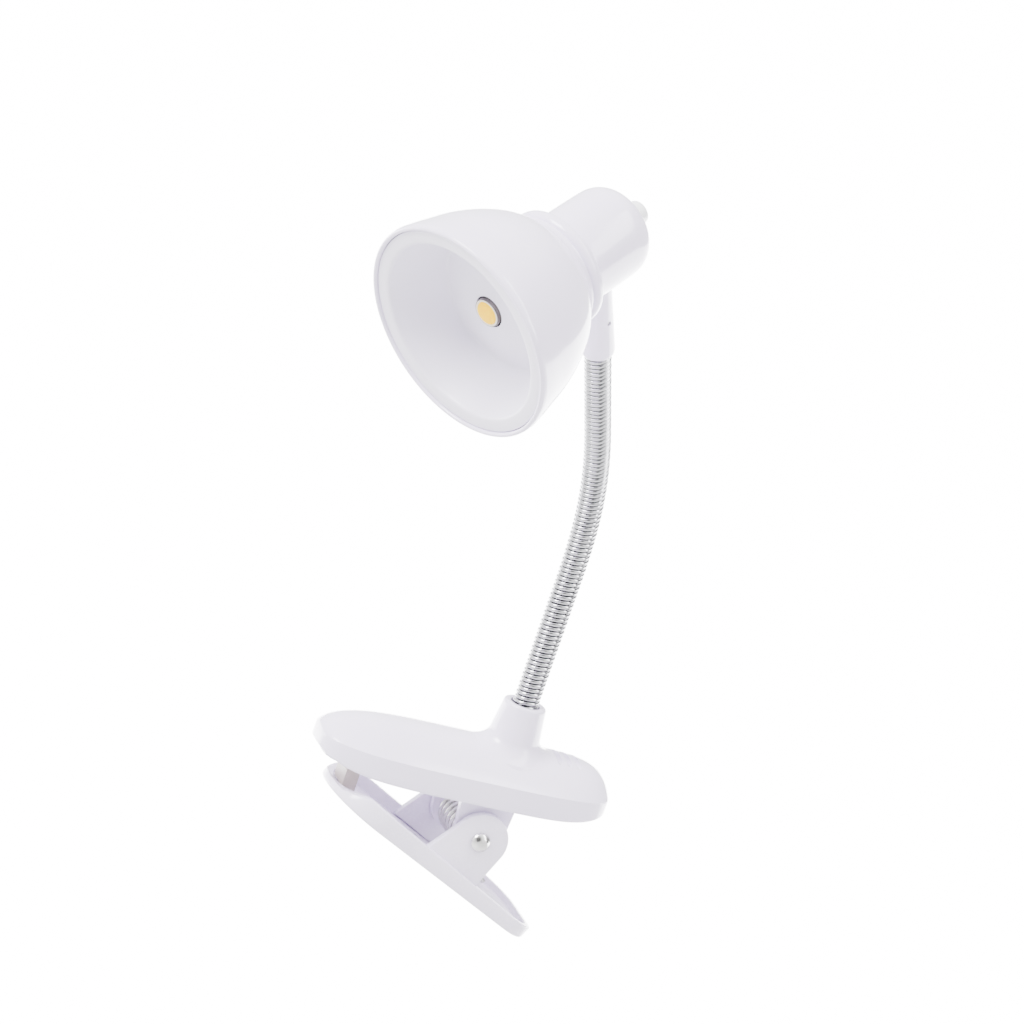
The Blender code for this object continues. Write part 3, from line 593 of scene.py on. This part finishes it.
# coiled wires: one node tree winds a round wire round any line
def coilTree():
    tree = bpy.data.node_groups.new("woundWire", "GeometryNodeTree")
    tree.interface.new_socket(name="Geometry", in_out="OUTPUT", socket_type="NodeSocketGeometry")
    for name, kind in (("Geometry", "NodeSocketGeometry"), ("Coil radius", "NodeSocketFloat"),
                       ("Wire radius", "NodeSocketFloat"), ("Second share", "NodeSocketFloat"),
                       ("Core radius", "NodeSocketFloat"), ("Pitch", "NodeSocketFloat"),
                       ("Start length", "NodeSocketFloat"),
                       ("Axis", "NodeSocketVector"), ("Steps", "NodeSocketInt"), ("Core steps", "NodeSocketInt"),
                       ("Wire finish", "NodeSocketMaterial"), ("Core finish", "NodeSocketMaterial")):
        tree.interface.new_socket(name=name, in_out="INPUT", socket_type=kind)
    graph = Graph(tree)
    given = tree.nodes.new("NodeGroupInput")
    take = lambda name: Wire(graph, given.outputs[name])
    line = graph.add("GeometryNodeMeshToCurve", None, {0: take("Geometry")})
    fine = graph.add("GeometryNodeResampleCurve", {"mode": "COUNT"}, {"Curve": line, "Count": take("Steps")})
    along = graph.add("GeometryNodeSplineParameter", output="Length")
    tangent = graph.add("GeometryNodeInputTangent")
    side = graph.add("ShaderNodeVectorMath", {"operation": "CROSS_PRODUCT"}, {0: tangent, 1: take("Axis")})
    wires = []
    for phase, share in ((0.0, 1.0), (math.pi, take("Second share"))):
        angle = (along + take("Start length")) / take("Pitch") * math.tau + phase
        cosine, sine = angle.sum("COSINE", angle), angle.sum("SINE", angle)
        first = graph.add("ShaderNodeVectorMath", {"operation": "SCALE"},
                          {0: take("Axis"), "Scale": cosine * take("Coil radius")})
        second = graph.add("ShaderNodeVectorMath", {"operation": "SCALE"},
                           {0: side, "Scale": sine * take("Coil radius")})
        offset = graph.add("ShaderNodeVectorMath", {"operation": "ADD"}, {0: first, 1: second})
        wound = graph.add("GeometryNodeSetPosition", None, {"Geometry": fine, "Offset": offset})
        ring = graph.add("GeometryNodeCurvePrimitiveCircle", None,
                         {"Resolution": 12, "Radius": take("Wire radius") * share})
        wire = graph.add("GeometryNodeCurveToMesh", None,
                         {"Curve": wound, "Profile Curve": ring, "Fill Caps": True})
        wires.append(graph.add("GeometryNodeSetMaterial", None,
                               {"Geometry": wire, "Material": take("Wire finish")}))
    coarse = graph.add("GeometryNodeResampleCurve", {"mode": "COUNT"}, {"Curve": line, "Count": take("Core steps")})
    ring = graph.add("GeometryNodeCurvePrimitiveCircle", None, {"Resolution": 48, "Radius": take("Core radius")})
    core = graph.add("GeometryNodeCurveToMesh", None, {"Curve": coarse, "Profile Curve": ring, "Fill Caps": True})
    core = graph.add("GeometryNodeSetMaterial", None, {"Geometry": core, "Material": take("Core finish")})
    both = tree.nodes.new("GeometryNodeJoinGeometry")
    for made in (core, *wires):
        tree.links.new(made.socket, both.inputs[0])
    solid = graph.add("GeometryNodeRealizeInstances", None, {"Geometry": Wire(graph, both.outputs[0])})
    end = tree.nodes.new("NodeGroupOutput")
    tree.links.new(solid.socket, end.inputs[0])
    return tree


woundWire = coilTree()


def coilPiece(name, points, sizes, axis, start, finish, coreFinish):
    mesh = bpy.data.meshes.new(name + "Line")
    mesh.from_pydata([tuple(p) for p in points], [(i, i + 1) for i in range(len(points) - 1)], [])
    obj = bpy.data.objects.new(name + "Line", mesh)
    bpy.context.collection.objects.link(obj)
    length = sum((Vector(b) - Vector(a)).length for a, b in zip(points, points[1:]))
    steps = int(length / (sizes["pitch"] * mm) * sizes["perTurn"]) + 2
    made = meshFrom(obj, woundWire, {
        "Coil radius": sizes["coilR"] * mm, "Wire radius": sizes["wireR"] * mm,
        "Second share": sizes["second"], "Core radius": sizes["coreR"] * mm,
        "Pitch": sizes["pitch"] * mm, "Start length": start, "Axis": tuple(axis), "Steps": steps,
        "Core steps": max(int(length / (0.4 * mm)), 2), "Wire finish": finish, "Core finish": coreFinish}, name)
    made.data.shade_smooth()
    made.data.set_sharp_from_angle(angle=math.radians(50))
    return made


# hose: a round wire wound over a core, one length for each joint it crosses; the core's near-black colour is painted
# shade in the gaps between the turns
hose = {"coilR": 2.27, "wireR": 0.43, "second": 0.9, "coreR": 2.26, "pitch": 1.92, "perTurn": 36,
        "below": 3.0, "above": 3.4, "turn": 2.2}


def neckLine():
    joints = neckJoints()
    points = [joints[0][0] - Vector((0, 0, 1)) * (neck["first"] + hose["below"]) * mm]
    points += [point for point, way in joints]
    points.append(joints[-1][0] + joints[-1][1] * hose["above"] * mm)
    return points


def smoothLine(points, per=24):
    ends = [points[0] * 2 - points[1]] + points + [points[-1] * 2 - points[-2]]
    line = []
    for a, b, c, d in zip(ends, ends[1:], ends[2:], ends[3:]):
        for i in range(per):
            t = i / per
            line.append(0.5 * (2 * b + (c - a) * t + (2 * a - 5 * b + 4 * c - d) * t * t
                               + (3 * b - a - 3 * c + d) * t ** 3))
    return line + [points[-1]]


def makeHose():
    per = 24
    line = smoothLine(neckLine(), per)
    joints = neckJoints()
    cuts = [0] + [per * (k + 1) + per // 2 for k in range(neck["joints"] - 1)] + [len(line) - 1]
    run = 0.0
    for k in range(neck["joints"]):
        part = line[cuts[k]:cuts[k + 1] + 1]
        piece = coilPiece("hose%02d" % (k + 1), part, hose, bendAxis, run, hoseChrome, hoseCore)
        run += sum((b - a).length for a, b in zip(part, part[1:]))
        point, way = joints[k]
        before = joints[k - 1][1] if k else Vector((0, 0, 1))
        tuple(point - before * hose["turn"] * mm)
        tuple(point + way * hose["turn"] * mm)
        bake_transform(piece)
        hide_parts("neck_root_sleeve" if k == 0 else "neck_link_%02d" % k)
        if k == neck["joints"] - 1:
            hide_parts("neck_link_%02d" % k, "neck_top_sleeve")


makeHose()
print("hose made")


# jaw spring: five turns on the pivot, both legs press the thumb ends apart
spring = {"coilR": 4.0, "wireR": 0.5, "turns": 5, "half": 5.0, "clear": 0.8, "plateZ": 0.8,
          "upperReach": 11.0, "lowerReach": 15.0}


def makeSpring():
    pitch = math.radians(pivot["pitch"])
    upperEnd = (spring["upperReach"], spring["plateZ"] - spring["clear"] - pivot["place"][2])
    reachU, reachW = spring["lowerReach"], lever["floor"] + spring["clear"]
    lowerEnd = (reachU * math.cos(pitch) + reachW * math.sin(pitch),
                -reachU * math.sin(pitch) + reachW * math.cos(pitch))
    touch = lambda end, side: math.atan2(end[1], end[0]) + side * math.acos(spring["coilR"] / math.hypot(*end))
    start, stop = touch(upperEnd, 1), touch(lowerEnd, -1)
    sweep = math.tau * spring["turns"] + (stop - start) % math.tau
    points = [(upperEnd[0], -spring["half"], upperEnd[1])]
    count = 48 * spring["turns"]
    for i in range(count + 1):
        angle = start + sweep * i / count
        points.append((spring["coilR"] * math.cos(angle), -spring["half"] + 2 * spring["half"] * i / count,
                       spring["coilR"] * math.sin(angle)))
    points.append((lowerEnd[0], spring["half"], lowerEnd[1]))
    curve = bpy.data.curves.new("jawSpring", "CURVE")
    curve.dimensions = "3D"
    curve.bevel_depth = spring["wireR"] * mm
    curve.bevel_resolution = 3
    curve.use_fill_caps = True
    run = curve.splines.new("POLY")
    run.points.add(len(points) - 1)
    for slot, point in zip(run.points, points):
        slot.co = (*(pivotPlace @ (Vector(point) * mm)), 1.0)
    source = bpy.data.objects.new("jawSpringLine", curve)
    bpy.context.collection.objects.link(source)
    mesh = bpy.data.meshes.new_from_object(source.evaluated_get(bpy.context.evaluated_depsgraph_get()))
    bpy.data.objects.remove(source, do_unlink=True)
    mesh.materials.clear()
    mesh.materials.append(springSteel)
    mesh.shade_smooth()
    piece = bpy.data.objects.new("jawSpring", mesh)
    bpy.context.collection.objects.link(piece)
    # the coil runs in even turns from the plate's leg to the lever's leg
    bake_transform(piece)
    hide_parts("jaw_spring")


makeSpring()


# head: radii and distances behind the mouth
shade = {"bell": [(21.75, 1.2), (21.4, 3.2), (20.7, 6.2), (19.7, 10.2), (18.3, 14.0), (16.5, 17.6), (14.9, 20.0),
                  (13.2, 21.8), (11.9, 23.0), (11.35, 24.0), (11.25, 24.55)],
         "lip": [(20.8, 0.35), (20.92, 0.1), (21.2, 0.0), (21.5, 0.12), (21.7, 0.5), (21.75, 1.2)],
         "bead": [(11.0, 24.8), (11.3, 25.0), (11.6, 25.5), (11.7, 26.1), (11.55, 26.8), (11.2, 27.15), (10.6, 27.3)],
         "inside": [(9.0, 22.6), (10.3, 21.0), (12.8, 19.4), (15.0, 17.0), (16.8, 13.6), (18.3, 10.0),
                    (19.3, 6.0), (20.1, 3.4), (20.78, 2.4)]}


def makeShade():
    line = profile(shade["lip"], shade["bell"], [(11.0, 24.8)], shade["bead"],
                   [(10.6, 27.3), (9.0, 27.3)], shade["inside"], [(20.8, 0.35)])
    piece = turned("shadeBell", line, shadeWhite, headFrame, 144)
    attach(piece, "lamp_front")
    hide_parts("shade")


cup = {"floor": [(3.2, 8.6), (13.0, 11.78)], "corner": [(13.0, 11.78), (13.5, 11.9), (13.95, 11.85), (14.25, 11.5)],
       "wall": [(14.25, 11.5), (15.6, 7.6), (17.6, 1.6)],
       "brim": [(17.6, 1.6), (17.85, 0.95), (18.15, 0.62), (18.6, 0.5)],
       "flange": [(18.6, 0.5), (20.4, 0.5)], "edge": [(20.4, 0.5), (20.58, 0.56), (20.66, 0.75)]}


def makeCup():
    line = profile(cup["floor"], cup["corner"], cup["wall"], cup["brim"], cup["flange"], cup["edge"],
                   [(20.66, 1.0), (20.5, 1.2), (20.5, 2.2), (18.9, 2.2)], [(18.4, 2.6), (15.3, 12.5)],
                   [(13.6, 13.2), (3.2, 9.7)])
    piece = turned("reflectorBowl", line, reflectorWhite, headFrame, 144)
    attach(piece, "lamp_front")
    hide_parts("reflector_cup")


def makeLed():
    rim = profile([(2.3, 8.0), (2.42, 7.92), (2.55, 7.9), (2.7, 7.95)], [(2.72, 10.6)], [(0.0, 10.6)],
                  [(0.0, 8.3), (2.3, 8.3)])
    package = turned("ledPackage", rim, packagePale, headFrame, 72)
    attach(package, "lamp_front")
    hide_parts("led_package")
    # a thin collar round the package, coloured near black as painted shade in the gap
    collar = profile([(2.74, 7.98), (2.8, 7.96), (2.86, 8.05)], [(2.98, 8.7), (3.0, 9.4)], [(2.74, 9.4)])
    ring = turned("ledCollar", collar, collarPaintedShade, headFrame, 72)
    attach(ring, "lamp_front")
    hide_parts("led_package")
    dome = profile([(0.0, 7.3), (0.8, 7.33), (1.5, 7.46), (2.05, 7.7), (2.28, 7.95)], [(2.28, 8.2)], [(0.0, 8.25)])
    lens = turned("ledPhosphor", dome, phosphor, headFrame, 72)
    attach(lens, "lamp_front")
    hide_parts("led_phosphor")


barrel = {"spigot": [(7.8, 21.6), (8.5, 21.6), (8.5, 27.5)],
          "shoulder": [(8.5, 27.6), (9.0, 27.6), (9.2, 27.75), (9.28, 28.1)],
          "side": [(9.28, 28.1), (9.27, 34.0), (9.2, 39.4)],
          "rear": [(9.2, 39.4), (9.08, 40.8), (8.7, 42.1), (7.9, 43.4), (6.6, 44.45), (5.0, 45.0),
                   (3.3, 45.27), (3.0, 45.3)],
          "hole": [(3.0, 45.3), (2.82, 45.2), (2.75, 45.0)], "inside": [(6.0, 43.5), (7.4, 42.3), (7.8, 40.5)]}
stem = {"topR": 2.65, "endR": 3.3, "reach": 27.5, "behind": 37.8, "fillet": 1.1, "bore": 2.0,
        "pinAt": 18.8, "pinR": 0.5}


def barrelRadius(a):
    line = barrel["side"] + barrel["rear"][1:]
    for (r0, a0), (r1, a1) in zip(line, line[1:]):
        if a0 <= a <= a1:
            return r0 + (r1 - r0) * (a - a0) / (a1 - a0)
    return line[0][0] if a < line[0][1] else line[-1][0]


def stemInto(bm):
    # runs out of the barrel along the head's x axis; its foot follows the barrel's skin
    steps = 72
    rings = [(stem["topR"] + stem["fillet"] + 0.2, -0.5, None), (stem["topR"] + stem["fillet"], -0.03, None)]
    count = 8
    for i in range(1, count + 1):
        angle = i / count * math.pi / 2
        rings.append((stem["topR"] + stem["fillet"] * (1.0 - math.sin(angle)),
                      stem["fillet"] * (1.0 - math.cos(angle)), None))
    end, reach = stem["endR"], stem["reach"]
    rings += [(stem["topR"] + 0.12, None, 14.0), (end - 0.25, None, 20.0), (end - 0.03, None, reach - 2.0),
              (end, None, reach - 1.1), (end - 0.06, None, reach - 0.6), (end - 0.25, None, reach - 0.25),
              (end - 0.55, None, reach - 0.05), (end - 0.8, None, reach), (stem["bore"] + 0.75, None, reach),
              (2.76, None, reach - 0.1), (2.74, None, reach - 1.2)]
    points = []
    for r, lift, x in rings:
        ring = []
        for i in range(steps):
            angle = math.tau * i / steps
            y, z = r * math.sin(angle), -stem["behind"] + r * math.cos(angle)
            if x is None:
                skin = math.sqrt(max(barrelRadius(-z) ** 2 - y * y, 0.0))
                ring.append((skin + lift, y, z))
            else:
                ring.append((x, y, z))
        points.append(ring)
    ringInto(bm, points, capFirst=True, capLast=True)


def makeBarrel():
    line = profile(barrel["spigot"], barrel["shoulder"], barrel["side"], barrel["rear"], barrel["hole"],
                   [(2.75, 43.8)], barrel["inside"])
    body = turned("barrelBody", line, shadeWhite, headFrame, 120)
    bm = bmesh.new()
    stemInto(bm)
    foot = toObject("barrelStem", bm, shadeWhite, headFrame, crease=40)
    hole = bpy.data.meshes.new("pinHoleCut")
    bm = bmesh.new()
    bmesh.ops.create_cone(bm, cap_ends=True, segments=32, radius1=stem["pinR"], radius2=stem["pinR"], depth=8.0)
    place = (headFrame @ Matrix.Translation(Vector((stem["pinAt"], 0, -stem["behind"])) * mm)
             @ Matrix.Rotation(math.radians(90), 4, "X"))
    bmesh.ops.transform(bm, matrix=place @ Matrix.Scale(mm, 4), verts=bm.verts)
    bm.to_mesh(hole)
    bm.free()
    cutter = bpy.data.objects.new("pinHoleCut", hole)
    bpy.context.collection.objects.link(cutter)
    cutAway(foot, cutter)
    for piece in (body, foot):
        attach(piece, "head")
        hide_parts("barrel")


def makeButton():
    line = profile([(0.0, 49.65), (1.2, 49.6), (1.9, 49.45), (2.3, 49.15), (2.45, 48.7)], [(2.45, 43.6)],
                   [(3.4, 43.4), (3.4, 43.2)], [(1.5, 43.2), (1.5, 41.3)], [(0.0, 41.3)])
    piece = turned("pushButton", line, buttonWhite, headFrame, 64)
    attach(piece, "button")
    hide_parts("push_button")


makeShade()
makeCup()
makeLed()
makeBarrel()
makeButton()
print("head made")


# finishes of the parts kept from the frame
# the grips take the painted shade of the jaw's inside
kept = {"clip_base_plate": housingWhite, "upper_grip": gripPaintedShade, "lower_grip": gripPaintedShade,
        "base_screw_front": springSteel, "base_screw_rear": springSteel, "pivot_washer": rivetSteel,
        "stem_pin": rivetSteel, "battery_sleeve": naturalPlastic, "battery_cell_1": cellSteel,
        "battery_cell_2": cellSteel, "battery_cell_3": cellSteel, "rear_contact": rivetSteel,
        "switch_body": switchBlack, "button_spring": springSteel, "led_board": boardWhite,
        "led_holder": naturalPlastic, "front_contact": rivetSteel, "led_resistor": switchBlack}
for node, finish in kept.items():
    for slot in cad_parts[node].material_slots:
        slot.material = finish
print("kept nodes finished:", len(kept))

buttonSpring = {"fixedEnd": -39.25, "travel": 1.0}


def squashButtonSpring():
    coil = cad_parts["button_spring"]
    along = (headFrame.to_3x3() @ Vector((0, 0, 1))).normalized()
    reach = [(coil.matrix_world @ v.co).dot(along) / mm for v in coil.data.vertices]
    1 - buttonSpring["travel"] / (max(reach) - min(reach))
    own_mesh(coil)


squashButtonSpring()


# studio: pale floor, soft lights and the camera
studio = {"floorZ": -0.6, "glow": 14.0, "glowFrom": 0.5, "glowTo": 1.1, "worldLight": 3.0}


def makeFloor(back):
    bm = bmesh.new()
    bmesh.ops.create_grid(bm, x_segments=1, y_segments=1, size=60.0)
    mesh = bpy.data.meshes.new("floor")
    bm.to_mesh(mesh)
    bm.free()
    floor = bpy.data.objects.new("floor", mesh)
    floor.location = (0, 0, studio["floorZ"])
    bpy.context.collection.objects.link(floor)
    material, graph, shader = newFinish("paleFloor", (0.85, 0.85, 0.85), 0.9)
    spot = graph.add("ShaderNodeTexCoord", output="Object")
    behind = Vector((-back.x, -back.y, 0.0)).normalized()
    away = graph.add("ShaderNodeVectorMath", {"operation": "DOT_PRODUCT"},
                     {0: spot, 1: tuple(behind)}, output="Value")
    far = graph.add("ShaderNodeMapRange", {"interpolation_type": "SMOOTHSTEP"},
                    {"Value": away, "From Min": studio["glowFrom"], "From Max": studio["glowTo"],
                     "To Min": 0.0, "To Max": studio["glow"]})
    shader.inputs["Emission Color"].default_value = (1.0, 1.0, 1.0, 1.0)
    join(graph, far, shader, "Emission Strength")
    mesh.materials.append(material)


def makeWorld(right, top, back):
    # a light tent: bright panels left and right of the camera, a dark gap at the camera
    world = bpy.data.worlds.new("studioWorld")
    bpy.context.scene.world = world
    world.use_nodes = True
    graph = Graph(world.node_tree)
    way = graph.add("ShaderNodeTexCoord", output="Generated")
    across, high, near = (graph.add("ShaderNodeVectorMath", {"operation": "DOT_PRODUCT"},
                                    {0: way, 1: tuple(v)}, output="Value") for v in (right, top, back))
    turn = across.sum("ARCTAN2", across, near) / math.tau + 0.5
    panels = graph.add("ShaderNodeValToRGB", {"stops": [
        (0.0, 1.0), (0.10, 0.75), (0.19, 0.35), (0.25, 0.9), (0.30, 1.0), (0.39, 0.9), (0.44, 0.08), (0.50, 0.03),
        (0.54, 0.08), (0.60, 0.95), (0.68, 0.9), (0.74, 0.1), (0.82, 0.2), (1.0, 1.0)]}, {"Fac": turn})
    overhead = graph.add("ShaderNodeMapRange", {"interpolation_type": "SMOOTHSTEP"},
                         {"Value": high, "From Min": 0.45, "From Max": 0.85, "To Min": 0.0, "To Max": 1.0})
    light = panels * (1 - overhead) + overhead * 1.2
    background = world.node_tree.nodes["Background"]
    background.inputs["Color"].default_value = (1.0, 1.0, 1.0, 1.0)
    graph.tree.links.new((light * studio["worldLight"]).socket, background.inputs["Strength"])


# camera: azimuth, elevation and roll of the view; the reference point is the boss's top, and its offset
# across and down is from the middle of the frame in millimetres; scale is frame units to a millimetre
view = {"azimuth": -21.5, "elevation": 13.3, "roll": 19.0, "distance": 800.0, "scale": 5.0,
        "refPoint": (26.0, 0.0, 19.4), "refAcross": 2.72, "refDown": 38.2, "frameUnits": 1024.0, "sensor": 36.0}


def makeCamera():
    az, el, roll = (math.radians(view[k]) for k in ("azimuth", "elevation", "roll"))
    back = Vector((math.sin(az) * math.cos(el), -math.cos(az) * math.cos(el), math.sin(el)))
    level = Vector((math.cos(az), math.sin(az), 0.0))
    up = back.cross(level)
    right = level * math.cos(roll) + up * math.sin(roll)
    top = -level * math.sin(roll) + up * math.cos(roll)
    place = (Vector(view["refPoint"]) - right * view["refAcross"] + top * view["refDown"]
             + back * view["distance"]) * mm
    data = bpy.data.cameras.new("mainCamera")
    data.sensor_width = view["sensor"]
    data.lens = view["sensor"] * view["distance"] * view["scale"] / view["frameUnits"]
    data.clip_end = 200.0
    camera = bpy.data.objects.new("mainCamera", data)
    camera.matrix_world = Matrix.Translation(place) @ Matrix((right, top, back)).transposed().to_4x4()
    bpy.context.collection.objects.link(camera)
    bpy.context.scene.camera = camera
    return right, top, back


right, top, back = makeCamera()
makeFloor(back)
makeWorld(right, top, back)
aimPoint = Vector((0.0, 0.0, 0.04))
# name: (right, up, towards the camera) in metres, size across and up, watts
lights = {"keySoftbox": ((-0.55, 1.0, 0.75), (0.6, 0.6), 48.0),
          "rightStrip": ((0.85, 0.35, 0.35), (0.2, 1.0), 9.0)}
for name, (spot, size, watts) in lights.items():
    data = bpy.data.lights.new(name, "AREA")
    data.shape = "RECTANGLE"
    data.size, data.size_y = size
    data.energy = watts
    lamp = bpy.data.objects.new(name, data)
    place = aimPoint + right * spot[0] + top * spot[1] + back * spot[2]
    away = (place - aimPoint).normalized()
    side = top.cross(away).normalized()
    lamp.matrix_world = Matrix.Translation(place) @ Matrix((side, away.cross(side), away)).transposed().to_4x4()
    bpy.context.collection.objects.link(lamp)
print("studio made")
